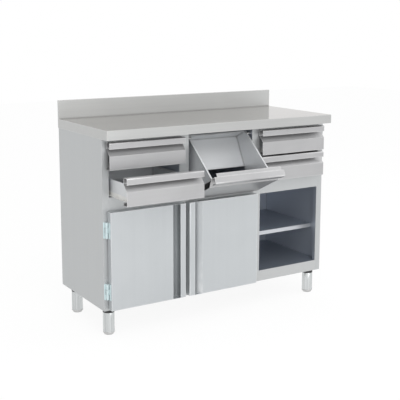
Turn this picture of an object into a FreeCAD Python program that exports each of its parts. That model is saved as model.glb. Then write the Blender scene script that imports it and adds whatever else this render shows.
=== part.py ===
import FreeCAD, Part
import math
import os
import Sketcher
from FreeCAD import Placement, Rotation, Vector

# Waiter service station: a stainless steel back counter in three bays on four legs. Drawers sit
# over a cupboard on the left and over an open bay on the right, with a tilting waste bin between.
#
# Lengths are millimetres. x runs along the counter from its middle, y runs from the worktop's front
# edge to the back and z up from the floor. Every piece is then shifted back by origin_depth, which
# puts the document's origin at the bottom centre of the station with one drawer out and the bin open.

doc = FreeCAD.newDocument("ServiceStation")
sheet = doc.addObject("Spreadsheet::Sheet", "Sizes")


class Size:
    """A length or angle that knows its value and the expression that gives it."""

    def __init__(self, value, text):
        self.value = float(value)
        self.text = text

    def __add__(self, other):
        return Size(self.value + value_of(other), f"({self.text} + {text_of(other)})")

    def __sub__(self, other):
        return Size(self.value - value_of(other), f"({self.text} - {text_of(other)})")

    def __mul__(self, other):
        return Size(self.value * value_of(other), f"{self.text} * {text_of(other)}")

    def __truediv__(self, other):
        return Size(self.value / value_of(other), f"{self.text} / {text_of(other)}")

    def __neg__(self):
        return Size(-self.value, f"(-1 * {self.text})")

    def __rsub__(self, other):
        return Size(value_of(other) - self.value, f"({text_of(other)} - {self.text})")

    __radd__ = __add__
    __rmul__ = __mul__


def value_of(number):
    return number.value if isinstance(number, Size) else float(number)


def text_of(number):
    return number.text if isinstance(number, Size) else repr(float(number))


CELLS = []


def entry(alias, content, value):
    """A row of the sheet, reached everywhere else by its alias."""
    CELLS.append(alias)
    row = len(CELLS)
    sheet.set(f"A{row}", alias)
    sheet.set(f"B{row}", content)
    sheet.setAlias(f"B{row}", alias)
    return Size(value, f"{sheet.Name}.{alias}")


def size(alias, value):
    """A driving size."""
    return entry(alias, repr(float(value)), value)


def derived(alias, length):
    """A size worked out from others by a formula in the sheet."""
    return entry(alias, "=" + length.text.replace(f"{sheet.Name}.", ""), length.value)


def sine(angle):
    return Size(math.sin(math.radians(angle.value)), f"sin({angle.text} * 1 deg)")


def cosine(angle):
    return Size(math.cos(math.radians(angle.value)), f"cos({angle.text} * 1 deg)")


def root(square):
    return Size(math.sqrt(square.value), f"sqrt({square.text})")


# overall
width = size("width", 1400)
depth = size("depth", 600)
worktop_height = size("worktop_height", 1060)
worktop_fold = size("worktop_fold", 48)
worktop_lip = size("worktop_lip", 16)
upstand_rise = size("upstand_rise", 100)
upstand_depth = size("upstand_depth", 15)
steel = size("steel", 1.5)
seat_gap = size("seat_gap", 0.3)

# cabinet carcass
body_setback = size("body_setback", 68)
body_clear = size("body_clear", 140)
back_gap = size("back_gap", 3)
post_width = size("post_width", 38)
post_return = size("post_return", 25)
divider_width = size("divider_width", 56)
divider_flange = size("divider_flange", 18)
back_flange = size("back_flange", 22)
base_rise = size("base_rise", 60)
base_lip = size("base_lip", 14)
base_hem = size("base_hem", 40)
rail_rise = size("rail_rise", 80)
bin_rail_rise = size("bin_rail_rise", 40)
rail_depth = size("rail_depth", 30)
top_rail_gap = size("top_rail_gap", 5)
stiffener_rise = size("stiffener_rise", 22)
stiffener_width = size("stiffener_width", 60)
stiffener_brim = size("stiffener_brim", 14)
stiffener_inset = size("stiffener_inset", 200)

# drawer, bin and door fronts: a face, a sloping hand recess and a hooked lip folded from one sheet
front_overlay = size("front_overlay", 40)
front_overlap = size("front_overlap", 13)
front_return = size("front_return", 14)
front_steel = size("front_steel", 1.2)
face_rise = size("face_rise", 70)
recess_depth = size("recess_depth", 34)
recess_rise = size("recess_rise", 34)
lip_rise = size("lip_rise", 32)
lip_radius = size("lip_radius", 6)
lip_hem = size("lip_hem", 7)
top_gap = size("top_gap", 16)
row_gap = size("row_gap", 10)
rail_overlap = size("rail_overlap", 6)

# drawers
box_depth = size("box_depth", 440)
box_lift = size("box_lift", 35)
box_rise = size("box_rise", 62)
box_steel = size("box_steel", 1.2)
box_hem = size("box_hem", 6)
box_front_lift = size("box_front_lift", 3)
box_front_rise = size("box_front_rise", 107)
drawer_pull = size("drawer_pull", 180)

# drawer runners
runner_space = size("runner_space", 12)
runner_drop = size("runner_drop", 20)
runner_margin = size("runner_margin", 10)
runner_steel = size("runner_steel", 1.6)
runner_ledge = size("runner_ledge", 9)
runner_foot = size("runner_foot", 9)
runner_play = size("runner_play", 0.4)
runner_inset = size("runner_inset", 2)
roller_radius = size("roller_radius", 9)
roller_width = size("roller_width", 5)
roller_inset = size("roller_inset", 3.4)
roller_play = size("roller_play", 0.1)
roller_setback = size("roller_setback", 14)
roller_collar = size("roller_collar", 0.2)
axle_radius = size("axle_radius", 2.5)
axle_collar = size("axle_collar", 4)
pin_play = size("pin_play", 0.05)
support_margin = size("support_margin", 9)

# tilting bin
bin_tilt = size("bin_tilt", 64)
pivot_setback = size("pivot_setback", 6)
pivot_drop = size("pivot_drop", 14)
pivot_radius = size("pivot_radius", 4)
pivot_collar = size("pivot_collar", 10)
pivot_reach = size("pivot_reach", 4)
bin_side_gap = size("bin_side_gap", 22)
bin_side_rise = size("bin_side_rise", 225)
bin_reach = size("bin_reach", 277)
bin_floor_lift = size("bin_floor_lift", 11)
bin_back_rise = size("bin_back_rise", 86)
bin_floor_depth = size("bin_floor_depth", 177)
bin_heel = size("bin_heel", 10)
bin_heel_depth = size("bin_heel_depth", 20)
bin_rim = size("bin_rim", 18.8)
bin_rim_gap = size("bin_rim_gap", 3)
bin_steel = size("bin_steel", 1.2)
bin_hem = size("bin_hem", 8)
stop_radius = size("stop_radius", 5)
stop_inset = size("stop_inset", 24)
stop_reach = size("stop_reach", 26)

# doors
door_overlap = size("door_overlap", 12)
door_inner_overlap = size("door_inner_overlap", 18)
door_top_overlap = size("door_top_overlap", 11)
door_lift = size("door_lift", 8)
door_opening = size("door_opening", 46)
door_lip = size("door_lip", 34)

# hinges
hinge_radius = size("hinge_radius", 7.5)
hinge_pin_radius = size("hinge_pin_radius", 3)
hinge_inset = size("hinge_inset", 8)
hinge_setback = size("hinge_setback", 9)
hinge_knuckle = size("hinge_knuckle", 27)
hinge_gap = size("hinge_gap", 0.5)
hinge_low = size("hinge_low", 53)
hinge_high = size("hinge_high", 53)
hinge_plate = size("hinge_plate", 2.5)
hinge_wing = size("hinge_wing", 15)
hinge_wing_gap = size("hinge_wing_gap", 8)
leaf_reach = size("leaf_reach", 10)
leaf_edge = size("leaf_edge", 6)

# shelves
shelf_height = size("shelf_height", 400)
shelf_setback = size("shelf_setback", 84)
shelf_fold = size("shelf_fold", 22)
shelf_play = size("shelf_play", 1)
bracket_length = size("bracket_length", 40)
bracket_rise = size("bracket_rise", 20)
bracket_inset = size("bracket_inset", 30)

# legs
leg_inset = size("leg_inset", 50)
leg_setback = size("leg_setback", 50)
leg_back_inset = size("leg_back_inset", 90)
leg_radius = size("leg_radius", 30)
leg_wall = size("leg_wall", 2)
plug_head = size("plug_head", 16)
plug_neck = size("plug_neck", 6)
neck_radius = size("neck_radius", 22)
plug_depth = size("plug_depth", 16)
stud_length = size("stud_length", 12)
foot_rise = size("foot_rise", 16)
foot_edge = size("foot_edge", 6)
foot_radius = size("foot_radius", 23)
stem_radius = size("stem_radius", 8)
stem_length = size("stem_length", 55)
bush_rise = size("bush_rise", 24)
channel_width = size("channel_width", 92)

# heights and places that follow from them
zero = Size(0, "0")
half_width = derived("half_width", width / 2)
runner_length = derived("runner_length", box_depth - runner_margin)
skin = derived("skin", half_width - steel - seat_gap)
skin_inner = derived("skin_inner", skin - steel)
post_inner = derived("post_inner", half_width - post_width)
bay_width = derived("bay_width", (width - post_width * 2 - divider_width * 2) / 3)
bay_pitch = derived("bay_pitch", bay_width + divider_width)
fold_bottom = derived("fold_bottom", worktop_height - worktop_fold)
body_top = derived("body_top", worktop_height - steel)
body_back = derived("body_back", depth - back_gap)
back_front = derived("back_front", body_back - steel * 2)
base_top = derived("base_top", body_clear + base_rise)
front_face = derived("front_face", body_setback - front_overlay)
front_rear = derived("front_rear", recess_depth + front_steel * 3)
front_width = derived("front_width", bay_width + front_overlap * 2)
drawer_rise = derived("drawer_rise", face_rise + recess_rise + lip_rise)
upper_front = derived("upper_front", fold_bottom - top_gap - drawer_rise)
lower_front = derived("lower_front", upper_front - row_gap - drawer_rise)
rail_bottom = derived("rail_bottom", lower_front + rail_overlap - rail_rise)
box_front_top = derived("box_front_top", box_front_lift + box_front_rise)
top_rail_bottom = derived("top_rail_bottom", upper_front + box_front_top + top_rail_gap)
bin_rise = derived("bin_rise", upper_front + drawer_rise - lower_front)
door_bottom = derived("door_bottom", body_clear + door_lift)
door_rise = derived("door_rise", rail_bottom + door_top_overlap - door_bottom)
door_width = derived("door_width", bay_width + door_overlap + door_inner_overlap)
pivot_depth = derived("pivot_depth", body_setback + pivot_setback)
pivot_height = derived("pivot_height", lower_front - pivot_drop)
tilt_sine = derived("tilt_sine", sine(bin_tilt))
tilt_cosine = derived("tilt_cosine", cosine(bin_tilt))

# the open bin's lip reaches furthest forward, and the middle of the depth is taken from there
lip_front = derived("lip_front", pivot_depth - front_face - lip_radius)
lip_top = derived("lip_top", pivot_drop + bin_rise - lip_radius)
lip_reach = derived("lip_reach", lip_front * tilt_cosine + lip_top * tilt_sine + lip_radius)
origin_depth = derived("origin_depth", (depth + pivot_depth - lip_reach) / 2)

NODES = []
PLANES = {"XY": 1, "XZ": -1, "YZ": 1}


def bind(item, path, length):
    """Tie one property of an object to the sheet."""
    item.setExpression(path, text_of(length))


def place(item, x=0, y=0, z=0, tilt=None):
    """Put a piece at x, y, z in the station's frame, tipped forward by tilt."""
    spot = (x, y - origin_depth, z)
    turn = Rotation(Vector(1, 0, 0), 0 if tilt is None else tilt.value)
    item.Placement = Placement(Vector(*[value_of(part) for part in spot]), turn)
    for axis, length in zip("xyz", spot):
        bind(item, f"Placement.Base.{axis}", length)
    if tilt is not None:
        bind(item, "Placement.Rotation.Angle", tilt)


def new_body(label):
    body = doc.addObject("PartDesign::Body", label)
    body.Label = label
    place(body)
    return body


def node(item):
    """Register a finished piece, which is written to a file of its own."""
    NODES.append(item)
    return item


def group(label, pieces):
    """Matching pieces kept as separate solids of one node."""
    compound = doc.addObject("Part::Compound", label)
    compound.Label = label
    compound.Links = pieces
    return node(compound)


def new_sketch(body, plane, start):
    """A sketch parallel to one of the body's planes, at start along that plane's own axis."""
    role = f"{plane}_Plane"
    support = [item for item in body.Origin.OriginFeatures if item.Role == role][0]
    sketch = body.newObject("Sketcher::SketchObject", f"{body.Name}_sketch")
    sketch.AttachmentSupport = [(support, "")]
    sketch.MapMode = "FlatFace"
    offset = start * PLANES[plane]
    sketch.AttachmentOffset = Placement(Vector(0, 0, value_of(offset)), Rotation())
    bind(sketch, "AttachmentOffset.Base.z", offset)
    return sketch


def fix_point(sketch, geometry, end, spot):
    """Fix one point of a sketch by its two coordinates."""
    for kind, length in zip(("DistanceX", "DistanceY"), spot):
        rule = Sketcher.Constraint(kind, -1, 1, geometry, end, value_of(length))
        index = sketch.addConstraint(rule)
        bind(sketch, f"Constraints[{index}]", length)


def draw_outline(sketch, points):
    """A closed outline of straight lines."""
    first = sketch.GeometryCount
    for here, there in zip(points, points[1:] + points[:1]):
        start = Vector(value_of(here[0]), value_of(here[1]), 0)
        end = Vector(value_of(there[0]), value_of(there[1]), 0)
        sketch.addGeometry(Part.LineSegment(start, end), False)
    for turn, spot in enumerate(points):
        following = first + (turn + 1) % len(points)
        sketch.addConstraint(Sketcher.Constraint("Coincident", first + turn, 2, following, 1))
        fix_point(sketch, first + turn, 1, spot)


def draw_circle(sketch, centre, radius):
    index = sketch.GeometryCount
    middle = Vector(value_of(centre[0]), value_of(centre[1]), 0)
    sketch.addGeometry(Part.Circle(middle, Vector(0, 0, 1), value_of(radius)), False)
    fix_point(sketch, index, 3, centre)
    rule = sketch.addConstraint(Sketcher.Constraint("Radius", index, value_of(radius)))
    bind(sketch, f"Constraints[{rule}]", radius)


def pad(body, sketch, length, plane):
    """Raise a sketch along the positive axis."""
    feature = body.newObject("PartDesign::Pad", f"{body.Name}_pad")
    feature.Profile = sketch
    feature.Length = value_of(length)
    feature.Reversed = PLANES[plane] < 0
    bind(feature, "Length", length)


def slab(body, plane, points, start, length):
    """A straight-sided block: an outline on a plane, raised by length from start."""
    sketch = new_sketch(body, plane, start)
    draw_outline(sketch, points)
    pad(body, sketch, length, plane)


def disc(body, plane, centre, radius, start, length, bore=None):
    """A round block, with a bore through it where one is given."""
    sketch = new_sketch(body, plane, start)
    draw_circle(sketch, centre, radius)
    if bore is not None:
        draw_circle(sketch, centre, bore)
    pad(body, sketch, length, plane)


def bore_holes(body, plane, start, length, circles):
    """Cut round holes out of a body, from start to start + length."""
    sketch = new_sketch(body, plane, start if PLANES[plane] < 0 else start + length)
    for centre, radius in circles:
        draw_circle(sketch, centre, radius)
    cut = body.newObject("PartDesign::Pocket", f"{body.Name}_holes")
    cut.Profile = sketch
    cut.Length = value_of(length)
    bind(cut, "Length", length)


def rectangle(left, low, right, high):
    return [(left, low), (right, low), (right, high), (left, high)]


def folded(path, thickness):
    """Section of a sheet folded along a path, its thickness on the path's right hand."""
    normals = []
    for here, there in zip(path, path[1:]):
        run = value_of(there[0]) - value_of(here[0])
        rise = value_of(there[1]) - value_of(here[1])
        length = math.hypot(run, rise)
        normals.append((rise / length, -run / length))
    mitres = [normals[0]]
    for before, after in zip(normals, normals[1:]):
        share = 1 + before[0] * after[0] + before[1] * after[1]
        mitres.append(((before[0] + after[0]) / share, (before[1] + after[1]) / share))
    mitres.append(normals[-1])
    far = []
    for spot, mitre in zip(path, mitres):
        shares = [round(part, 9) for part in mitre]
        far.append(tuple(
            length + thickness * share if share else length for length, share in zip(spot, shares)
        ))
    return path + far[::-1]


def mirrored(points):
    """An outline's mirror image across the vertical axis."""
    return [(-across, along) for across, along in points][::-1]


def round_folds(body, axes, spots, radius):
    """Round the fold lines that pass square through the given points of a body's section."""
    doc.recompute()
    base = body.Tip
    names = []
    for number, edge in enumerate(base.Shape.Edges, 1):
        ends = [vertex.Point for vertex in edge.Vertexes]
        for spot in spots:
            offsets = [end[axis] - value_of(part) for end in ends for axis, part in zip(axes, spot)]
            if len(ends) == 2 and max(map(abs, offsets)) < 1e-4:
                names.append(f"Edge{number}")
    fillet = body.newObject("PartDesign::Fillet", f"{body.Name}_round")
    fillet.Base = (base, names)
    fillet.Radius = value_of(radius)
    bind(fillet, "Radius", radius)


# worktop and carcass


def make_worktop():
    """Top sheet with its front fold, an upstand along the back and closed ends."""
    body = new_body("worktop")
    upstand_front = depth - upstand_depth
    upstand_top = worktop_height + upstand_rise
    path = [
        (worktop_lip, fold_bottom),
        (zero, fold_bottom),
        (zero, worktop_height),
        (upstand_front, worktop_height),
        (upstand_front, upstand_top),
        (depth, upstand_top),
        (depth, fold_bottom),
    ]
    end = [
        (zero, fold_bottom),
        (depth, fold_bottom),
        (depth, upstand_top),
        (upstand_front, upstand_top),
        (upstand_front, worktop_height),
        (zero, worktop_height),
    ]
    slab(body, "YZ", folded(path, steel), -half_width, width)
    slab(body, "YZ", end, -half_width, steel)
    slab(body, "YZ", end, half_width - steel, steel)
    node(body)


def make_stiffeners():
    """Top-hat channels under the worktop, two in each bay."""
    pieces = []
    low = body_top - stiffener_rise
    spans = {
        "left": (-skin_inner, -bay_pitch * 0.5 - divider_width * 0.5),
        "middle": (-bay_width / 2, bay_width / 2),
        "right": (bay_pitch * 0.5 + divider_width * 0.5, skin_inner),
    }
    for place_name, middle in (("front", stiffener_inset), ("rear", depth - stiffener_inset)):
        front = middle - stiffener_width / 2
        rear = middle + stiffener_width / 2
        path = [
            (rear + stiffener_brim, body_top),
            (rear, body_top),
            (rear, low),
            (front, low),
            (front, body_top),
            (front - stiffener_brim, body_top),
        ]
        for bay_name, (left, right) in spans.items():
            piece = new_body(f"stiffener_{bay_name}_{place_name}")
            section = folded(path, -steel)
            slab(piece, "YZ", section, left + shelf_play, right - left - shelf_play * 2)
            pieces.append(piece)
    group("worktop_stiffeners", pieces)


def make_side_panel(label, side):
    """A side sheet, folded round the front into a post with a return and to a flange at the back."""
    path = [
        (-post_inner, body_setback + post_return),
        (-post_inner, body_setback),
        (-skin, body_setback),
        (-skin, body_back),
        (back_flange - skin, body_back),
    ]
    section = folded(path, steel)
    body = new_body(label)
    slab(body, "XY", section if side < 0 else mirrored(section), body_clear, body_top - body_clear)
    node(body)


def make_back_panel():
    body = new_body("back_panel")
    sheet_outline = rectangle(-skin_inner, body_clear, skin_inner, body_top)
    slab(body, "XZ", sheet_outline, back_front, steel)
    node(body)


def make_base_panel():
    """The cupboard floor: an apron along the front, the floor and a hem along the back."""
    body = new_body("base_panel")
    path = [
        (body_setback + base_lip, body_clear),
        (body_setback, body_clear),
        (body_setback, base_top),
        (back_front, base_top),
        (back_front, base_top - base_hem),
    ]
    slab(body, "YZ", folded(path, steel), -post_inner, post_inner * 2)
    wing = rectangle(post_inner, body_setback + post_return + seat_gap, skin_inner, back_front)
    slab(body, "XY", wing, base_top - steel, steel)
    slab(body, "XY", mirrored(wing), base_top - steel, steel)
    node(body)


def make_divider(label, side):
    """A hollow partition: a post face and two skins that end in flanges on the back panel."""
    left = bay_pitch / 2 * side - divider_width / 2
    right = left + divider_width
    path = [
        (right - divider_flange, back_front),
        (right, back_front),
        (right, body_setback),
        (left, body_setback),
        (left, back_front),
        (left + divider_flange, back_front),
    ]
    body = new_body(label)
    slab(body, "XY", folded(path, steel), base_top, body_top - base_top)
    bin_skin = right - steel if side < 0 else left
    pivot = (pivot_depth, pivot_height)
    holes = [(pivot, pivot_radius + pin_play), (stop_centre(), stop_radius)]
    bore_holes(body, "YZ", bin_skin, steel, holes)
    node(body)


def make_rail(label, bay, low, high):
    """A channel between two posts, above or below the drawers or below the bin."""
    path = [
        (body_setback + rail_depth, low),
        (body_setback, low),
        (body_setback, high),
        (body_setback + rail_depth, high),
    ]
    body = new_body(label)
    slab(body, "YZ", folded(path, steel), bay_pitch * bay - bay_width / 2, bay_width)
    node(body)


def make_shelf(label, left, right):
    """A tray shelf with its folds turned down at the front and back."""
    front = body_setback + shelf_setback
    rear = back_front - shelf_play
    path = [
        (front + base_lip, shelf_height - shelf_fold),
        (front, shelf_height - shelf_fold),
        (front, shelf_height),
        (rear, shelf_height),
        (rear, shelf_height - shelf_fold),
    ]
    body = new_body(label)
    slab(body, "YZ", folded(path, steel), left + shelf_play, right - left - shelf_play * 2)
    node(body)


def make_brackets(label, left, right):
    """Angle brackets on a bay's two walls, which the shelf rests on."""
    pieces = []
    top = shelf_height - steel
    front = body_setback + shelf_setback + bracket_inset
    rear = back_front - bracket_inset - bracket_length
    right_hand = folded([(right - bracket_rise, top), (right, top), (right, top - bracket_rise)], steel)
    left_hand = folded([(left, top - bracket_rise), (left, top), (left + bracket_rise, top)], steel)
    for hand, section in (("left", left_hand), ("right", right_hand)):
        for end, start in (("front", front), ("rear", rear)):
            piece = new_body(f"{label}_{hand}_{end}")
            slab(piece, "XZ", section, start, bracket_length)
            pieces.append(piece)
    return pieces


# legs


def leg_spots():
    across = half_width - leg_inset
    front = body_setback + leg_setback
    rear = depth - leg_back_inset
    return {
        "front_left": (-across, front),
        "front_right": (across, front),
        "rear_left": (-across, rear),
        "rear_right": (across, rear),
    }


def make_leg_channels():
    """Channels below the floor, front to back, that the legs are fixed to."""
    pieces = []
    top = base_top - steel
    front = body_setback + post_return + seat_gap
    rear = back_front - base_lip
    outer = skin_inner - seat_gap
    inner = outer - channel_width
    path = [(outer, top), (outer, body_clear), (inner, body_clear), (inner, top)]
    section = folded(path, steel)
    for hand, outline in (("left", mirrored(section)), ("right", section)):
        piece = new_body(f"leg_channel_{hand}")
        slab(piece, "XZ", outline, front, rear - front)
        holes = [(spot, stem_radius) for name, spot in leg_spots().items() if name.endswith(hand)]
        bore_holes(piece, "XY", body_clear, steel, holes)
        pieces.append(piece)
    group("leg_channels", pieces)


def make_legs():
    """Tube legs, each with a plug at the top, a bush at the bottom and a levelling foot."""
    bore = leg_radius - leg_wall
    tube_top = body_clear - plug_neck - plug_head
    tubes = []
    plugs = []
    bushes = []
    for name, spot in leg_spots().items():
        tube = new_body(f"leg_{name}")
        disc(tube, "XY", spot, leg_radius, foot_rise, tube_top - foot_rise, bore)
        tubes.append(tube)

        plug = new_body(f"plug_{name}")
        disc(plug, "XY", spot, bore, tube_top - plug_depth, plug_depth)
        disc(plug, "XY", spot, leg_radius, tube_top, plug_head)
        disc(plug, "XY", spot, neck_radius, tube_top + plug_head, plug_neck)
        disc(plug, "XY", spot, stem_radius, body_clear, stud_length)
        plugs.append(plug)

        bush = new_body(f"bush_{name}")
        disc(bush, "XY", spot, bore, foot_rise, bush_rise, stem_radius + pin_play)
        bushes.append(bush)

        foot = new_body(f"foot_{name}")
        sketch = new_sketch(foot, "XZ", zero)
        outline = [
            (zero, zero),
            (foot_radius, zero),
            (leg_radius, foot_rise - foot_edge),
            (leg_radius, foot_rise),
            (stem_radius, foot_rise),
            (stem_radius, foot_rise + stem_length),
            (zero, foot_rise + stem_length),
        ]
        draw_outline(sketch, outline)
        turned = foot.newObject("PartDesign::Revolution", f"foot_{name}_turned")
        turned.Profile = sketch
        turned.ReferenceAxis = (sketch, ["V_Axis"])
        turned.Angle = 360
        place(foot, spot[0], spot[1])
        node(foot)
    group("legs", tubes)
    group("leg_plugs", plugs)
    group("leg_bushes", bushes)


# fronts


def front_section(face, opening, lip):
    """Section of a front, as points (depth back, distance along), with its two rounded folds.

    The sheet runs from a flange and a return at the foot up the face, slopes back into the hand
    recess and hooks forward over it into the lip.
    """
    top = face + opening + lip
    inner_top = top - front_steel
    hem = face + opening + front_steel
    path = [
        (front_rear, front_return),
        (front_rear, zero),
        (zero, zero),
        (zero, face),
        (recess_depth, face + recess_depth),
        (recess_depth, inner_top),
        (front_steel, inner_top),
        (front_steel, hem),
        (front_steel + lip_hem, hem),
    ]
    outer_folds = [(zero, top), (recess_depth + front_steel, top)]
    inner_folds = [(front_steel, inner_top), (recess_depth, inner_top)]
    return folded(path, front_steel), outer_folds, inner_folds


def moved(points, depthwise, along):
    return [(part[0] + depthwise, part[1] + along) for part in points]


def make_front(label, face, depthwise, up, folds=2):
    """A drawer or bin front, centred on the body's own YZ plane, its foremost folds rounded."""
    body = new_body(label)
    section, outer_folds, inner_folds = front_section(face, recess_rise, lip_rise)
    slab(body, "YZ", moved(section, depthwise, up), -front_width / 2, front_width)
    outer_folds = moved(outer_folds, depthwise, up)
    inner_folds = moved(inner_folds, depthwise, up)
    round_folds(body, (1, 2), outer_folds[:folds], lip_radius)
    round_folds(body, (1, 2), inner_folds[:folds], lip_radius - front_steel)
    return body


# drawers


runner_top = derived("runner_top", box_lift - runner_drop)
track_floor = derived("track_floor", runner_top - runner_play)
roller_height = derived("roller_height", track_floor + roller_play + roller_radius)
track_top = derived("track_top", roller_height + roller_radius + roller_play + runner_steel)
box_half = derived("box_half", bay_width / 2 - runner_space)
roller_depth = derived("roller_depth", front_rear + box_steel + runner_length - roller_setback)


def make_drawer(name, bay, bottom, pull):
    """A drawer: its front, its box, the two rails under the box and the rollers at their ends."""
    x = bay_pitch * bay
    y = front_face - pull
    front = make_front(f"{name}_front", face_rise, zero, zero)
    place(front, x, y, bottom)
    node(front)

    box = new_body(f"{name}_box")
    top = box_lift + box_rise
    path = [
        (box_hem - box_half, top),
        (-box_half, top),
        (-box_half, box_lift),
        (box_half, box_lift),
        (box_half, top),
        (box_half - box_hem, top),
    ]
    rear_start = front_rear + box_depth - box_steel
    slab(box, "XZ", folded(path, -box_steel), front_rear + box_steel, box_depth - box_steel * 2)
    slab(box, "XZ", rectangle(-box_half, box_lift, box_half, top), rear_start, box_steel)
    face_plate = rectangle(-box_half, box_front_lift, box_half, box_front_top)
    slab(box, "XZ", face_plate, front_rear, box_steel)
    place(box, x, y, bottom)
    node(box)

    rails = []
    rollers = []
    web = box_half - runner_steel
    path = [(web - runner_foot, box_lift), (box_half, box_lift), (box_half, runner_top)]
    upper = folded(path, runner_steel)
    ledge = rectangle(box_half, runner_top, box_half + runner_ledge, runner_top + runner_steel)
    roller_end = box_half + runner_space - roller_inset
    roller_start = roller_end - roller_width
    centre = (roller_depth, roller_height)
    for hand in ("left", "right"):
        right = hand == "right"
        rail = new_body(f"{name}_rail_{hand}")
        start = front_rear + box_steel
        slab(rail, "XZ", upper if right else mirrored(upper), start, runner_length)
        short = runner_length - roller_setback * 2
        slab(rail, "XZ", ledge if right else mirrored(ledge), start, short)
        collar = roller_start - roller_collar - box_half
        axle = roller_end - box_half
        disc(rail, "YZ", centre, axle_collar, box_half if right else -box_half - collar, collar)
        disc(rail, "YZ", centre, axle_radius, box_half if right else -box_half - axle, axle)
        place(rail, x, y, bottom)
        rails.append(rail)

        roller = new_body(f"{name}_roller_{hand}")
        inner_end = roller_start if right else -roller_end
        bore = axle_radius + pin_play
        disc(roller, "YZ", centre, roller_radius, inner_end, roller_width, bore)
        place(roller, x, y, bottom)
        rollers.append(roller)
    group(f"{name}_rails", rails)
    group(f"{name}_rollers", rollers)


def make_tracks(label, bay, bottoms):
    """The cabinet halves of the runners: channels on the bay's walls that the rollers run in."""
    pieces = []
    wall = bay_width / 2
    for row, bottom in bottoms.items():
        low = bottom + track_floor - runner_steel
        high = bottom + track_top
        tip = wall - runner_ledge
        section = folded([(tip, high), (wall, high), (wall, low), (tip, low)], runner_steel)
        for hand, outline in (("left", mirrored(section)), ("right", section)):
            piece = new_body(f"{label}_{row}_{hand}")
            slab(piece, "XZ", outline, body_setback + runner_inset, runner_length)
            place(piece, bay_pitch * bay)
            pieces.append(piece)
    group(label, pieces)


def make_supports(bottoms):
    """Top-hat channels that carry the outer tracks off the side sheets, in line with the posts."""
    pieces = []
    web = post_inner + steel
    start = body_setback + post_return + seat_gap
    for row, bottom in bottoms.items():
        low = bottom + track_floor - support_margin
        high = bottom + track_top + support_margin
        path = [
            (-skin_inner, low - stiffener_brim),
            (-skin_inner, low),
            (-web, low),
            (-web, high),
            (-skin_inner, high),
            (-skin_inner, high + stiffener_brim),
        ]
        section = folded(path, steel)
        for hand, outline in (("left", section), ("right", mirrored(section))):
            piece = new_body(f"support_{row}_{hand}")
            slab(piece, "XZ", outline, start, runner_length)
            pieces.append(piece)
    group("runner_supports", pieces)


# tilting bin, drawn closed about its pivot and then tipped forward


bin_front = derived("bin_front", front_face - pivot_depth)
bin_panel = derived("bin_panel", bin_front + recess_depth + front_steel)
bin_start = derived("bin_start", bin_panel + front_steel)
bin_side = derived("bin_side", bay_width / 2 - bin_side_gap)
bin_back_top = derived("bin_back_top", bin_floor_lift + bin_back_rise)
edge_run = derived("edge_run", bin_reach - bin_start)
edge_drop = derived("edge_drop", bin_side_rise - bin_back_top)
edge_length = derived("edge_length", root(edge_run * edge_run + edge_drop * edge_drop))
stop_share = derived("stop_share", stop_inset / edge_length)
stop_offset = derived("stop_offset", stop_radius / edge_length)
stop_back = derived("stop_back", bin_reach - edge_run * stop_share + edge_drop * stop_offset)
stop_up = derived("stop_up", bin_back_top + edge_drop * stop_share + edge_run * stop_offset)


def stop_centre():
    """Where a stop pin meets the upper edge of the bin's side when the bin is open."""
    along = pivot_depth + stop_back * tilt_cosine - stop_up * tilt_sine
    up = pivot_height + stop_back * tilt_sine + stop_up * tilt_cosine
    return along, up


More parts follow.
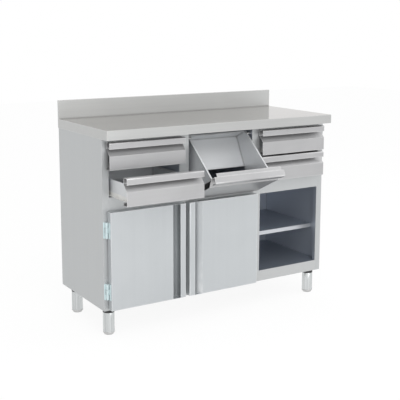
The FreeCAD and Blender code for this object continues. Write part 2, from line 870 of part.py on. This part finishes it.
def make_bin():
    face = bin_rise - recess_rise - lip_rise
    front = make_front("bin_front", face, bin_front, pivot_drop, folds=1)
    place(front, 0, pivot_depth, pivot_height, bin_tilt)
    node(front)

    panel = new_body("bin_panel")
    reach = bay_width / 2 - bin_rim_gap
    high = pivot_drop + bin_rise
    path = [
        (bin_panel, pivot_drop + front_steel),
        (bin_panel, high),
        (bin_panel + bin_rim, high),
        (bin_panel + bin_rim, high - bin_hem),
    ]
    slab(panel, "YZ", folded(path, front_steel), -reach, reach * 2)
    place(panel, 0, pivot_depth, pivot_height, bin_tilt)
    node(panel)

    chute = new_body("bin_chute")
    flange_back = bin_front + front_rear
    flange_top = pivot_drop + front_return
    side = [
        (flange_back, -bin_heel),
        (bin_heel_depth, -bin_heel),
        (bin_heel_depth + bin_heel + bin_floor_lift, bin_floor_lift),
        (bin_reach, bin_floor_lift),
        (bin_reach, bin_back_top),
        (bin_start, bin_side_rise),
        (bin_start, flange_top),
        (flange_back, flange_top),
    ]
    floor_path = [
        (bin_reach - bin_floor_depth, bin_floor_lift + bin_hem),
        (bin_reach - bin_floor_depth, bin_floor_lift),
        (bin_reach, bin_floor_lift),
        (bin_reach, bin_back_top),
        (bin_reach - bin_hem, bin_back_top),
    ]
    slab(chute, "YZ", folded(floor_path, -bin_steel), -bin_side, bin_side * 2)
    slab(chute, "YZ", side, -bin_side, bin_steel)
    slab(chute, "YZ", side, bin_side - bin_steel, bin_steel)
    side_hem = folded([(bin_start, bin_side_rise), (bin_reach, bin_back_top)], bin_steel)
    slab(chute, "YZ", side_hem, bin_side - bin_steel, bin_steel + bin_hem)
    slab(chute, "YZ", side_hem, -bin_side - bin_hem, bin_steel + bin_hem)
    for start in (-bin_side, bin_side - bin_steel):
        bore_holes(chute, "YZ", start, bin_steel, [((zero, zero), pivot_radius)])
    place(chute, 0, pivot_depth, pivot_height, bin_tilt)
    node(chute)

    pins = []
    stops = []
    wall = bay_width / 2
    inner = bin_side - pivot_reach
    for hand, side_sign in (("left", -1), ("right", 1)):
        right = side_sign > 0
        pin = new_body(f"bin_pivot_{hand}")
        reach = wall + steel + pivot_reach - inner
        collar = wall - seat_gap - bin_side
        disc(pin, "YZ", (zero, zero), pivot_radius, inner if right else -inner - reach, reach)
        collar_start = bin_side if right else -bin_side - collar
        disc(pin, "YZ", (zero, zero), pivot_collar, collar_start, collar)
        place(pin, 0, pivot_depth, pivot_height, bin_tilt)
        pins.append(pin)

        stop = new_body(f"bin_stop_{hand}")
        span = stop_reach + steel
        start = wall - stop_reach if right else -wall - steel
        disc(stop, "YZ", stop_centre(), stop_radius, start, span)
        stops.append(stop)
    group("bin_pivot_pins", pins)
    group("bin_stop_pins", stops)


# doors


def hinge_heights():
    """Bottom of each hinge's barrel above the floor."""
    barrel = hinge_knuckle * 3
    return {
        "lower": door_bottom + hinge_low,
        "upper": door_bottom + door_rise - hinge_high - barrel,
    }


def make_door(name, side, edge):
    """A door hung at x = edge, reaching towards side: a hooked skin, its two caps and a liner."""

    def handed(points):
        return points if side > 0 else mirrored(points)

    body = new_body(f"{name}_skin")
    face = door_width - door_opening - door_lip
    section, outer_folds, inner_folds = front_section(face, door_opening, door_lip)
    turned = [(along, back) for back, along in section]
    slab(body, "XY", handed(turned), front_steel, door_rise - front_steel * 2)
    corners = [(along * side, back) for back, along in outer_folds]
    inner_corners = [(along * side, back) for back, along in inner_folds]
    round_folds(body, (0, 1), corners, lip_radius)
    round_folds(body, (0, 1), inner_corners, lip_radius - front_steel)
    place(body, edge, front_face, door_bottom)
    node(body)

    caps = []
    cap_outline = rectangle(zero, zero, door_width, recess_depth + front_steel)
    for end, start in (("lower", zero), ("upper", door_rise - front_steel)):
        cap = new_body(f"{name}_cap_{end}")
        slab(cap, "XY", handed(cap_outline), start, front_steel)
        round_folds(cap, (0, 1), corners, lip_radius)
        place(cap, edge, front_face, door_bottom)
        caps.append(cap)
    group(f"{name}_caps", caps)

    liner = new_body(f"{name}_liner")
    back = recess_depth + front_steel
    flat = rectangle(front_steel + seat_gap, back, door_width - lip_radius, back + front_steel)
    slab(liner, "XY", handed(flat), zero, door_rise)
    place(liner, edge, front_face, door_bottom)
    node(liner)

    leaves = []
    axis = (zero, zero)
    x = edge - hinge_inset * side
    y = body_setback - hinge_setback
    leaf_back = hinge_setback - front_overlay
    edge_plate = rectangle(hinge_inset - hinge_plate, leaf_back + leaf_edge, hinge_inset, -leaf_reach)
    arm = rectangle(hinge_inset - hinge_plate, -leaf_reach, hinge_inset, zero)
    wing = rectangle(-hinge_wing, hinge_setback - hinge_plate, -hinge_wing_gap, hinge_setback)
    tab = rectangle(-hinge_wing_gap, hinge_setback - hinge_plate, zero, hinge_setback)
    fixed = []
    pins = []
    barrel = hinge_knuckle * 3
    for row, bottom in hinge_heights().items():
        leaf = new_body(f"{name}_leaf_{row}")
        middle = hinge_knuckle + hinge_gap
        knuckle = hinge_knuckle - hinge_gap * 2
        moving_bore = hinge_pin_radius + pin_play
        disc(leaf, "XY", axis, hinge_radius, middle, knuckle)
        slab(leaf, "XY", handed(arm), middle, knuckle)
        slab(leaf, "XY", handed(edge_plate), zero, barrel)
        bore_holes(leaf, "XY", middle, knuckle, [(axis, moving_bore)])
        place(leaf, x, y, bottom)
        leaves.append(leaf)

        mount = new_body(f"{name}_mount_{row}")
        slab(mount, "XY", handed(wing), zero, barrel)
        for start in (zero, hinge_knuckle * 2):
            slab(mount, "XY", handed(tab), start, hinge_knuckle)
            disc(mount, "XY", axis, hinge_radius, start, hinge_knuckle)
        bore_holes(mount, "XY", zero, barrel, [(axis, hinge_pin_radius)])
        place(mount, x, y, bottom)
        fixed.append(mount)

        pin = new_body(f"{name}_pin_{row}")
        disc(pin, "XY", axis, hinge_pin_radius, zero, barrel)
        place(pin, x, y, bottom)
        pins.append(pin)
    group(f"{name}_hinge_leaves", leaves)
    return fixed, pins


make_worktop()
make_stiffeners()
make_side_panel("left_side_panel", -1)
make_side_panel("right_side_panel", 1)
make_back_panel()
make_base_panel()
make_divider("left_divider", -1)
make_divider("right_divider", 1)
make_rail("left_mid_rail", -1, rail_bottom, rail_bottom + rail_rise)
make_rail("middle_mid_rail", 0, rail_bottom, rail_bottom + bin_rail_rise)
make_rail("right_mid_rail", 1, rail_bottom, rail_bottom + rail_rise)
make_rail("left_top_rail", -1, top_rail_bottom, body_top)
make_rail("right_top_rail", 1, top_rail_bottom, body_top)

divider_outer = derived("divider_outer", bay_pitch / 2 + divider_width / 2)
make_shelf("cupboard_shelf", -skin_inner, -divider_outer)
make_shelf("bay_shelf", divider_outer, skin_inner)
brackets = make_brackets("cupboard_bracket", -skin_inner, -divider_outer)
brackets += make_brackets("bay_bracket", divider_outer, skin_inner)
group("shelf_brackets", brackets)

make_leg_channels()
make_legs()

rows = {"lower": lower_front, "upper": upper_front}
make_supports(rows)
make_tracks("left_tracks", -1, rows)
make_tracks("right_tracks", 1, rows)
make_drawer("lower_left_drawer", -1, lower_front, drawer_pull)
make_drawer("upper_left_drawer", -1, upper_front, zero)
make_drawer("lower_right_drawer", 1, lower_front, zero)
make_drawer("upper_right_drawer", 1, upper_front, zero)

make_bin()

left_edge = -post_inner - door_overlap
right_edge = bay_width / 2 + door_overlap
left_mounts, left_pins = make_door("left_door", 1, left_edge)
right_mounts, right_pins = make_door("right_door", -1, right_edge)
group("hinge_mounts", left_mounts + right_mounts)
group("hinge_pins", left_pins + right_pins)

doc.recompute()
for item in doc.Objects:
    if "Invalid" in item.State or "Error" in item.State:
        raise RuntimeError(f"{item.Name} did not build: {item.State}")
for item in NODES:
    if item.Shape.isNull() or not item.Shape.isValid():
        raise RuntimeError(f"{item.Label} has no valid shape")

os.makedirs("parts", exist_ok=True)
for item in NODES:
    item.Shape.exportStep(f"parts/{item.Label}.step")
print(f"{len(NODES)} nodes written")
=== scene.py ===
import bpy
import math
from mathutils import Euler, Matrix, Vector


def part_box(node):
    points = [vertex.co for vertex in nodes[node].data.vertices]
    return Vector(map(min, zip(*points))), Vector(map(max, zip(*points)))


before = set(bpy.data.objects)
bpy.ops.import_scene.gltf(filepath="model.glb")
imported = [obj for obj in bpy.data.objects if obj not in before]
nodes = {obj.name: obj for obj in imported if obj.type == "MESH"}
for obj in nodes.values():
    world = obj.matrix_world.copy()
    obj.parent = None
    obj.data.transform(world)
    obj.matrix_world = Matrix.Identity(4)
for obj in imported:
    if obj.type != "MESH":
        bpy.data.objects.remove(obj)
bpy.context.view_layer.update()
print("station loaded:", len(nodes), "nodes")


# short ways to place shader nodes

def join(tree, source, target):
    tree.links.new(source, target)


def objectSpot(tree):
    return tree.nodes.new("ShaderNodeTexCoord").outputs["Object"]


def mathNode(tree, operation, *values):
    node = tree.nodes.new("ShaderNodeMath")
    node.operation = operation
    for socket, value in zip(node.inputs, values):
        if isinstance(value, (int, float)):
            socket.default_value = value
        else:
            join(tree, value, socket)
    return node.outputs[0]


def vectorNode(tree, operation, first, second):
    node = tree.nodes.new("ShaderNodeVectorMath")
    node.operation = operation
    join(tree, first, node.inputs[0])
    join(tree, second, node.inputs["Scale" if operation == "SCALE" else 1])
    return node.outputs["Value" if operation == "DOT_PRODUCT" else "Vector"]


def noiseNode(tree, vector, scale, detail, distortion=0):
    node = tree.nodes.new("ShaderNodeTexNoise")
    node.inputs["Scale"].default_value = scale
    node.inputs["Detail"].default_value = detail
    node.inputs["Distortion"].default_value = distortion
    join(tree, vector, node.inputs["Vector"])
    return node.outputs[0]


def rangeNode(tree, value, fromLow, fromHigh, toLow=0, toHigh=1):
    node = tree.nodes.new("ShaderNodeMapRange")
    node.inputs["From Min"].default_value = fromLow
    node.inputs["From Max"].default_value = fromHigh
    node.inputs["To Min"].default_value = toLow
    node.inputs["To Max"].default_value = toHigh
    join(tree, value, node.inputs["Value"])
    return node.outputs[0]


def colourSockets(sockets):
    return [socket for socket in sockets if socket.type == "RGBA"]


def colourMix(tree, share, first, second):
    node = tree.nodes.new("ShaderNodeMix")
    node.data_type = "RGBA"
    join(tree, share, node.inputs["Factor"])
    for socket, colour in zip(colourSockets(node.inputs), (first, second)):
        if isinstance(colour, tuple):
            socket.default_value = (*colour, 1)
        else:
            join(tree, colour, socket)
    return colourSockets(node.outputs)[0]


def maskedMix(tree, mask, strength, first, second):
    return colourMix(tree, mathNode(tree, "MULTIPLY", mask, strength), first, second)


# shared surface effects

def newGroup(name, inputs, outputs):
    group = bpy.data.node_groups.new(name, "ShaderNodeTree")
    for label, kind in inputs.items():
        group.interface.new_socket(name=label, in_out="INPUT", socket_type=kind)
    for label, kind in outputs.items():
        group.interface.new_socket(name=label, in_out="OUTPUT", socket_type=kind)
    return group, group.nodes.new("NodeGroupOutput").inputs


# noises are given as scale and detail, and the wiped one has its distortion after them
brushMarks = dict(fine=(330, 1), fineShare=0.6, coarse=(110, 1), coarseShare=0.4, bands=(40, 2))


def makeBrushing():
    # parallel strokes of a brushed sheet, long where the stretch is small
    group, out = newGroup(
        "brushing",
        dict(Stretch="NodeSocketVector"),
        dict(Strokes="NodeSocketFloat", Bands="NodeSocketFloat"),
    )
    stretch = group.nodes.new("NodeGroupInput").outputs["Stretch"]
    drawn = vectorNode(group, "MULTIPLY", objectSpot(group), stretch)
    fine = noiseNode(group, drawn, *brushMarks["fine"])
    coarse = noiseNode(group, drawn, *brushMarks["coarse"])
    fineStrokes = mathNode(group, "MULTIPLY", fine, brushMarks["fineShare"])
    strokes = mathNode(group, "MULTIPLY_ADD", coarse, brushMarks["coarseShare"], fineStrokes)
    join(group, strokes, out["Strokes"])
    join(group, noiseNode(group, drawn, *brushMarks["bands"]), out["Bands"])
    return group


wipeMarks = dict(smears=(3.2, 2, 0.5), fade=(0.35, 0.7))


def makeHandling():
    # soft wiped smears that break up a polished face
    group, out = newGroup(
        "handling",
        dict(Scale="NodeSocketFloat"),
        dict(Smears="NodeSocketFloat"),
    )
    scale = group.nodes.new("NodeGroupInput").outputs["Scale"]
    sized = vectorNode(group, "SCALE", objectSpot(group), scale)
    wiped = noiseNode(group, sized, *wipeMarks["smears"])
    join(group, rangeNode(group, wiped, *wipeMarks["fade"]), out["Smears"])
    return group


edgeWearHighlightAndShade = dict(
    hollowReach=0.014, hollowRays=8, bevelRays=6,
    turned=(0.995, 0.8),  # likeness of the bevelled and the true normal, from flat to edge
    proud=(0.7, 0.95), corner=(0.85, 0.5),  # openness of the spot
    patches=(30, 3), patchFade=(0.3, 0.6), leastWorn=0.5,
)


def makeEdges():
    # bright line along outer folds and cut edges, partly painted highlight and partly rubbed
    # wear, and a painted shade line along inner corners and creases
    group, out = newGroup(
        "rubbedEdgeHighlightAndCreaseShade",
        dict(Breadth="NodeSocketFloat"),
        dict(Mask="NodeSocketFloat", Corner="NodeSocketFloat"),
    )
    breadth = group.nodes.new("NodeGroupInput").outputs["Breadth"]
    hollow = group.nodes.new("ShaderNodeAmbientOcclusion")
    hollow.samples = edgeWearHighlightAndShade["hollowRays"]
    hollow.only_local = True
    hollow.inputs["Distance"].default_value = edgeWearHighlightAndShade["hollowReach"]
    openness = hollow.outputs["AO"]
    bevelled = group.nodes.new("ShaderNodeBevel")
    bevelled.samples = edgeWearHighlightAndShade["bevelRays"]
    join(group, breadth, bevelled.inputs["Radius"])
    trueNormal = group.nodes.new("ShaderNodeNewGeometry").outputs["Normal"]
    likeness = vectorNode(group, "DOT_PRODUCT", bevelled.outputs[0], trueNormal)
    turned = rangeNode(group, likeness, *edgeWearHighlightAndShade["turned"])
    patches = noiseNode(group, objectSpot(group), *edgeWearHighlightAndShade["patches"])
    worn = rangeNode(group, patches, *edgeWearHighlightAndShade["patchFade"], edgeWearHighlightAndShade["leastWorn"], 1)
    proud = rangeNode(group, openness, *edgeWearHighlightAndShade["proud"])
    rubbed = mathNode(group, "MULTIPLY", turned, worn)
    join(group, mathNode(group, "MULTIPLY", rubbed, proud), out["Mask"])
    join(group, rangeNode(group, openness, *edgeWearHighlightAndShade["corner"]), out["Corner"])
    return group


# how far a box keeps within the cabinet's outer faces, and how far it reaches under the floor
shelterInset = dict(side=0.0007, front=0.0029, back=0.0011, top=0.0015, underFloor=0.01)


def findShelter():
    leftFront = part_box("left_side_panel")[0]
    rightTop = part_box("right_side_panel")[1]
    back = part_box("back_panel")[1].y - shelterInset["back"]
    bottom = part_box("base_panel")[1].z - shelterInset["underFloor"]
    low = (leftFront.x + shelterInset["side"], leftFront.y + shelterInset["front"], bottom)
    high = (rightTop.x - shelterInset["side"], back, rightTop.z - shelterInset["top"])
    return low, high


def makeShelter():
    # inner faces of the cabinet, those inside that box
    group, out = newGroup("shelter", {}, dict(Mask="NodeSocketFloat"))
    parts = group.nodes.new("ShaderNodeSeparateXYZ")
    join(group, objectSpot(group), parts.inputs[0])
    mask = 1.0
    for part, low, high in zip(parts.outputs, *findShelter()):
        above = mathNode(group, "GREATER_THAN", part, low)
        below = mathNode(group, "LESS_THAN", part, high)
        between = mathNode(group, "MULTIPLY", above, below)
        mask = mathNode(group, "MULTIPLY", mask, between)
    join(group, mask, out["Mask"])
    return group


levelTurn = dict(start=0.6, full=0.9)  # vertical part of the normal


def makeUpward():
    # level faces that look up
    group, out = newGroup("upward", {}, dict(Mask="NodeSocketFloat"))
    parts = group.nodes.new("ShaderNodeSeparateXYZ")
    join(group, group.nodes.new("ShaderNodeTexCoord").outputs["Normal"], parts.inputs[0])
    facing = rangeNode(group, parts.outputs["Z"], levelTurn["start"], levelTurn["full"])
    join(group, facing, out["Mask"])
    return group


brushing = makeBrushing()
handling = makeHandling()
rubbedEdgeHighlightAndCreaseShade = makeEdges()
shelter = makeShelter()
upward = makeUpward()
print("surface effects ready")


# finishes

def startMaterial(name):
    material = bpy.data.materials.new(name)
    material.use_nodes = True
    tree = material.node_tree
    shader = tree.nodes["Principled BSDF"]
    return material, tree, shader


def placeGroup(tree, group, **values):
    node = tree.nodes.new("ShaderNodeGroup")
    node.node_tree = group
    for label, value in values.items():
        node.inputs[label].default_value = value
    return node.outputs


bumpStrength = 0.2


def addBump(tree, shader, height, depth):
    bump = tree.nodes.new("ShaderNodeBump")
    bump.inputs["Strength"].default_value = bumpStrength
    bump.inputs["Distance"].default_value = depth
    join(tree, height, bump.inputs["Height"])
    join(tree, bump.outputs[0], shader.inputs["Normal"])


# the brush strokes run along the axis with the small stretch
# level is painted shade: a darker colour laid on faces that look up
sheetFinishes = {
    "worktopSheet": dict(
        light=(0.53, 0.535, 0.53), dark=(0.495, 0.50, 0.495), edge=(0.84, 0.84, 0.83),
        stretch=(0.012, 1, 1), metal=0.85, rough=(0.30, 0.36), smearScale=1.3, cloud=0.03,
        breadth=0.004, level=(0.325, 0.303, 0.28), levelRough=(0.05, 0.10),
    ),
    "frontSheet": dict(
        light=(0.465, 0.465, 0.472), dark=(0.435, 0.435, 0.44), edge=(0.86, 0.86, 0.86),
        stretch=(0.012, 1, 1), metal=0.6, rough=(0.30, 0.38), smearScale=1.0, breadth=0.005,
    ),
    "doorSheet": dict(
        light=(0.555, 0.58, 0.595), dark=(0.53, 0.555, 0.57), edge=(0.88, 0.89, 0.90),
        stretch=(1, 1, 0.012), metal=0.6, rough=(0.30, 0.38), smearScale=1.0, breadth=0.006,
    ),
    "bodySheet": dict(
        light=(0.52, 0.535, 0.54), dark=(0.49, 0.505, 0.51), edge=(0.80, 0.80, 0.80),
        stretch=(1, 1, 0.012), metal=0.6, rough=(0.32, 0.44), smearScale=0.8,
        inner=(0.51, 0.55, 0.62),
    ),
    "shelfSheet": dict(
        light=(0.62, 0.64, 0.67), dark=(0.58, 0.60, 0.63), edge=(0.86, 0.87, 0.88),
        stretch=(0.012, 1, 1), metal=0.5, rough=(0.34, 0.46), smearScale=0.8,
        level=(0.30, 0.34, 0.41),
    ),
    "apronSheet": dict(
        light=(0.53, 0.54, 0.54), dark=(0.50, 0.51, 0.51), edge=(0.86, 0.87, 0.88),
        stretch=(0.012, 1, 1), metal=0.6, rough=(0.30, 0.40), smearScale=0.8,
        level=(0.26, 0.295, 0.355),
    ),
    "chuteSheet": dict(
        light=(0.68, 0.695, 0.71), dark=(0.65, 0.665, 0.68), edge=(0.92, 0.92, 0.92),
        stretch=(0.012, 1, 1), metal=0.35, rough=(0.34, 0.46), smearScale=0.8,
    ),
    "fittingSteel": dict(
        light=(0.55, 0.55, 0.55), dark=(0.46, 0.46, 0.46), edge=(0.75, 0.75, 0.75),
        stretch=(1, 0.02, 1), metal=0.8, rough=(0.30, 0.5), smearScale=2.0,
    ),
    # light and dark far apart paint bright and dark vertical reflection streaks on the polished
    # tube, over its grain
    "legTube": dict(
        light=(0.74, 0.76, 0.76), dark=(0.34, 0.36, 0.37), edge=(0.80, 0.80, 0.80),
        stretch=(0.35, 0.35, 0.006), metal=0.9, rough=(0.12, 0.2), smearScale=2.0,
    ),
    "footMetal": dict(
        light=(0.58, 0.58, 0.58), dark=(0.5, 0.5, 0.5), edge=(0.75, 0.75, 0.75),
        stretch=(1, 1, 0.3), metal=0.9, rough=(0.30, 0.45), smearScale=2.0,
    ),
}

sheetLook = dict(
    grain=(0.25, 0.75), grainRough=0.05, grainDepth=0.00001,
    bands=(0.3, 0.7), bandShare=0.5,
    topShadeShare=0.9, innerShare=0.9, edgeHighlightShare=0.7,
    creaseShadeShare=0.5, creaseShade=(0.17, 0.165, 0.16),
)


def makeSheet(
    name, light, dark, edge, stretch, metal, rough, smearScale,
    breadth=0.0016, cloud=0.09, level=None, levelRough=None, inner=None,
):
    material, tree, shader = startMaterial(name)
    strokes = placeGroup(tree, brushing, Stretch=stretch)
    smears = placeGroup(tree, handling, Scale=smearScale)["Smears"]
    edges = placeGroup(tree, rubbedEdgeHighlightAndCreaseShade, Breadth=breadth)
    grain = rangeNode(tree, strokes["Strokes"], *sheetLook["grain"])
    bands = rangeNode(tree, strokes["Bands"], *sheetLook["bands"], 0, sheetLook["bandShare"])
    tone = colourMix(tree, bands, colourMix(tree, grain, dark, light), light)
    tone = maskedMix(tree, smears, cloud, tone, edge)
    # faces that look up get the level colour, painted shade that darkens them
    if level:
        facing = placeGroup(tree, upward)["Mask"]
        tone = maskedMix(tree, facing, sheetLook["topShadeShare"], tone, level)
    if inner:
        inside = placeGroup(tree, shelter)["Mask"]
        tone = maskedMix(tree, inside, sheetLook["innerShare"], tone, inner)
    # painted highlight along outer folds and cut edges, partly rubbed wear
    tone = maskedMix(tree, edges["Mask"], sheetLook["edgeHighlightShare"], tone, edge)
    # painted shade darkening inner corners and creases
    tone = maskedMix(tree, edges["Corner"], sheetLook["creaseShadeShare"], tone, sheetLook["creaseShade"])
    join(tree, tone, shader.inputs["Base Color"])
    shader.inputs["Metallic"].default_value = metal
    dullness = rangeNode(tree, smears, 0, 1, *rough)
    if levelRough:  # needs a level colour beside it, where facing is set
        smooth = rangeNode(tree, smears, 0, 1, *levelRough)
        notFacing = mathNode(tree, "SUBTRACT", 1.0, facing)
        kept = mathNode(tree, "MULTIPLY", dullness, notFacing)
        dullness = mathNode(tree, "MULTIPLY_ADD", smooth, facing, kept)
    grained = mathNode(tree, "MULTIPLY_ADD", grain, sheetLook["grainRough"], dullness)
    join(tree, grained, shader.inputs["Roughness"])
    addBump(tree, shader, strokes["Strokes"], sheetLook["grainDepth"])
    return material


mouldedFinishes = {
    "blackPlastic": dict(
        light=(0.040, 0.040, 0.042), dark=(0.025, 0.025, 0.027), rough=(0.42, 0.6),
    ),
    "nylon": dict(light=(0.72, 0.70, 0.64), dark=(0.62, 0.60, 0.54), rough=(0.4, 0.55)),
    "hingeEnamel": dict(light=(0.70, 0.82, 0.84), dark=(0.62, 0.74, 0.76), rough=(0.3, 0.42)),
    "runnerEnamel": dict(light=(0.76, 0.76, 0.74), dark=(0.68, 0.68, 0.66), rough=(0.3, 0.42)),
}

mouldedLook = dict(smearScale=6.0, pores=(1400, 2), poreDepth=0.00003)


def makeMoulded(name, light, dark, rough):
    material, tree, shader = startMaterial(name)
    smears = placeGroup(tree, handling, Scale=mouldedLook["smearScale"])["Smears"]
    join(tree, colourMix(tree, smears, dark, light), shader.inputs["Base Color"])
    join(tree, rangeNode(tree, smears, 0, 1, *rough), shader.inputs["Roughness"])
    pores = noiseNode(tree, objectSpot(tree), *mouldedLook["pores"])
    addBump(tree, shader, pores, mouldedLook["poreDepth"])
    return material


finishes = {name: makeSheet(name, **values) for name, values in sheetFinishes.items()}
for name, values in mouldedFinishes.items():
    finishes[name] = makeMoulded(name, **values)
print("finishes ready:", len(finishes))


# every node gets its finish and softened folds

# beside each finish, how the names of its nodes end
nodeFinishes = {
    "worktopSheet": ("worktop",),
    "frontSheet": ("_drawer_front", "bin_front", "bin_panel"),
    "doorSheet": ("_door_skin", "_door_caps"),
    "chuteSheet": ("bin_chute", "_drawer_box"),
    "shelfSheet": ("_shelf",),
    "apronSheet": ("base_panel",),
    "hingeEnamel": ("hinge_mounts", "_hinge_leaves"),
    "runnerEnamel": ("_tracks", "_rails"),
    "blackPlastic": ("leg_plugs",),
    "nylon": ("_rollers",),
    "legTube": ("legs",),
    "footMetal": ("foot_front_left", "foot_front_right", "foot_rear_left", "foot_rear_right"),
    "fittingSteel": (
        "leg_bushes", "leg_channels", "hinge_pins", "bin_stop_pins", "bin_pivot_pins",
        "worktop_stiffeners", "shelf_brackets", "runner_supports",
    ),
}


def finishFor(name):
    for finish, endings in nodeFinishes.items():
        if name.endswith(endings):
            return finish
    return "bodySheet"


foldShape = dict(seam=0.000001, flatTurn=0.5, width=0.0005, segments=2, leastTurn=32)


def softenFolds(piece):
    weld = piece.modifiers.new("closeSeams", "WELD")
    weld.merge_threshold = foldShape["seam"]
    flat = piece.modifiers.new("flatFaces", "DECIMATE")
    flat.decimate_type = "DISSOLVE"
    flat.angle_limit = math.radians(foldShape["flatTurn"])
    fold = piece.modifiers.new("softFolds", "BEVEL")
    fold.width = foldShape["width"]
    fold.segments = foldShape["segments"]
    fold.limit_method = "ANGLE"
    fold.angle_limit = math.radians(foldShape["leastTurn"])
    fold.harden_normals = True


for name, piece in nodes.items():
    finish = finishes[finishFor(name)]
    for slot in piece.material_slots:
        slot.link = "OBJECT"
        slot.material = finish
    softenFolds(piece)
print("nodes dressed")


# floor

def seenRays(tree):
    # 1 for what is seen straight, mirrored or through glass, 0 for soft light
    rays = tree.nodes.new("ShaderNodeLightPath").outputs
    seen = mathNode(tree, "MAXIMUM", rays["Is Camera Ray"], rays["Is Glossy Ray"])
    return mathNode(tree, "MAXIMUM", seen, rays["Is Transmission Ray"])


floorLook = dict(
    reach=12.0, dark=(0.79, 0.79, 0.79), light=(0.81, 0.81, 0.81), clouds=(1.5, 2), rough=0.8,
    glow=1.05, glowShare=0.85,
)


def makeFloor():
    mesh = bpy.data.meshes.new("floorSheet")
    reach = floorLook["reach"]
    corners = [(-reach, -reach, 0), (reach, -reach, 0), (reach, reach, 0), (-reach, reach, 0)]
    mesh.from_pydata(corners, [], [(0, 1, 2, 3)])
    floor = bpy.data.objects.new("floor", mesh)
    bpy.context.scene.collection.objects.link(floor)
    material, tree, shader = startMaterial("paleFloor")
    cloudy = noiseNode(tree, objectSpot(tree), *floorLook["clouds"])
    tone = colourMix(tree, cloudy, floorLook["dark"], floorLook["light"])
    join(tree, tone, shader.inputs["Base Color"])
    shader.inputs["Roughness"].default_value = floorLook["rough"]
    glow = tree.nodes.new("ShaderNodeEmission")
    glow.inputs["Strength"].default_value = floorLook["glow"]
    blend = tree.nodes.new("ShaderNodeMixShader")
    share = mathNode(tree, "MULTIPLY", seenRays(tree), floorLook["glowShare"])
    join(tree, share, blend.inputs[0])
    join(tree, shader.outputs[0], blend.inputs[1])
    join(tree, glow.outputs[0], blend.inputs[2])
    join(tree, blend.outputs[0], tree.nodes["Material Output"].inputs["Surface"])
    mesh.materials.append(material)


makeFloor()
print("floor ready")


# studio light

worldLevels = dict(soft=0.75, seen=1.0)


def makeWorld():
    world = bpy.data.worlds.new("studio")
    bpy.context.scene.world = world
    world.use_nodes = True
    tree = world.node_tree
    soft = tree.nodes["Background"]
    white = tree.nodes.new("ShaderNodeBackground")
    for background, level in ((soft, worldLevels["soft"]), (white, worldLevels["seen"])):
        background.inputs["Color"].default_value = (1, 1, 1, 1)
        background.inputs["Strength"].default_value = level
    blend = tree.nodes.new("ShaderNodeMixShader")
    join(tree, seenRays(tree), blend.inputs[0])
    join(tree, soft.outputs[0], blend.inputs[1])
    join(tree, white.outputs[0], blend.inputs[2])
    join(tree, blend.outputs[0], tree.nodes["World Output"].inputs["Surface"])


softboxes = {
    "keyBox": dict(spot=(-1.6, -3.6, 3.6), aim=(0, 0, 0.7), size=3.8, power=58),
    "fillBox": dict(spot=(4.4, -1.6, 2.8), aim=(0, 0, 0.6), size=3.4, power=42),
    "frontBox": dict(spot=(-0.4, -4.2, 1.3), aim=(0, 0, 0.7), size=2.6, power=26),
}


def makeSoftbox(name, spot, aim, size, power):
    lamp = bpy.data.lights.new(name, "AREA")
    lamp.shape = "SQUARE"
    lamp.size = size
    lamp.energy = power
    holder = bpy.data.objects.new(name, lamp)
    bpy.context.scene.collection.objects.link(holder)
    holder.location = spot
    holder.rotation_euler = (Vector(aim) - Vector(spot)).to_track_quat("-Z", "Y").to_euler()


makeWorld()
for name, values in softboxes.items():
    makeSoftbox(name, **values)
print("light ready")


# camera, its turns in radians, its focal length and picture width in pixels

cameraPlace = dict(
    spot=(-2.42242, -3.76607, 1.57246), yaw=0.56158, pitch=0.16371, roll=0.00219,
    focal=833.253, picture=400, sensor=36, shift=-0.1, near=0.05,
)


def makeCamera():
    data = bpy.data.cameras.new("view")
    data.sensor_width = cameraPlace["sensor"]
    data.lens = cameraPlace["focal"] / cameraPlace["picture"] * cameraPlace["sensor"]
    data.shift_y = cameraPlace["shift"]
    data.clip_start = cameraPlace["near"]
    camera = bpy.data.objects.new("view", data)
    bpy.context.scene.collection.objects.link(camera)
    camera.location = cameraPlace["spot"]
    tilt = math.radians(90) - cameraPlace["pitch"]
    ahead = Euler((tilt, 0, -cameraPlace["yaw"]), "XYZ").to_matrix()
    rolled = Euler((0, 0, cameraPlace["roll"])).to_matrix()
    camera.rotation_euler = (ahead @ rolled).to_euler()
    bpy.context.scene.camera = camera


makeCamera()
bpy.context.scene.view_settings.view_transform = "Standard"
print("camera ready")
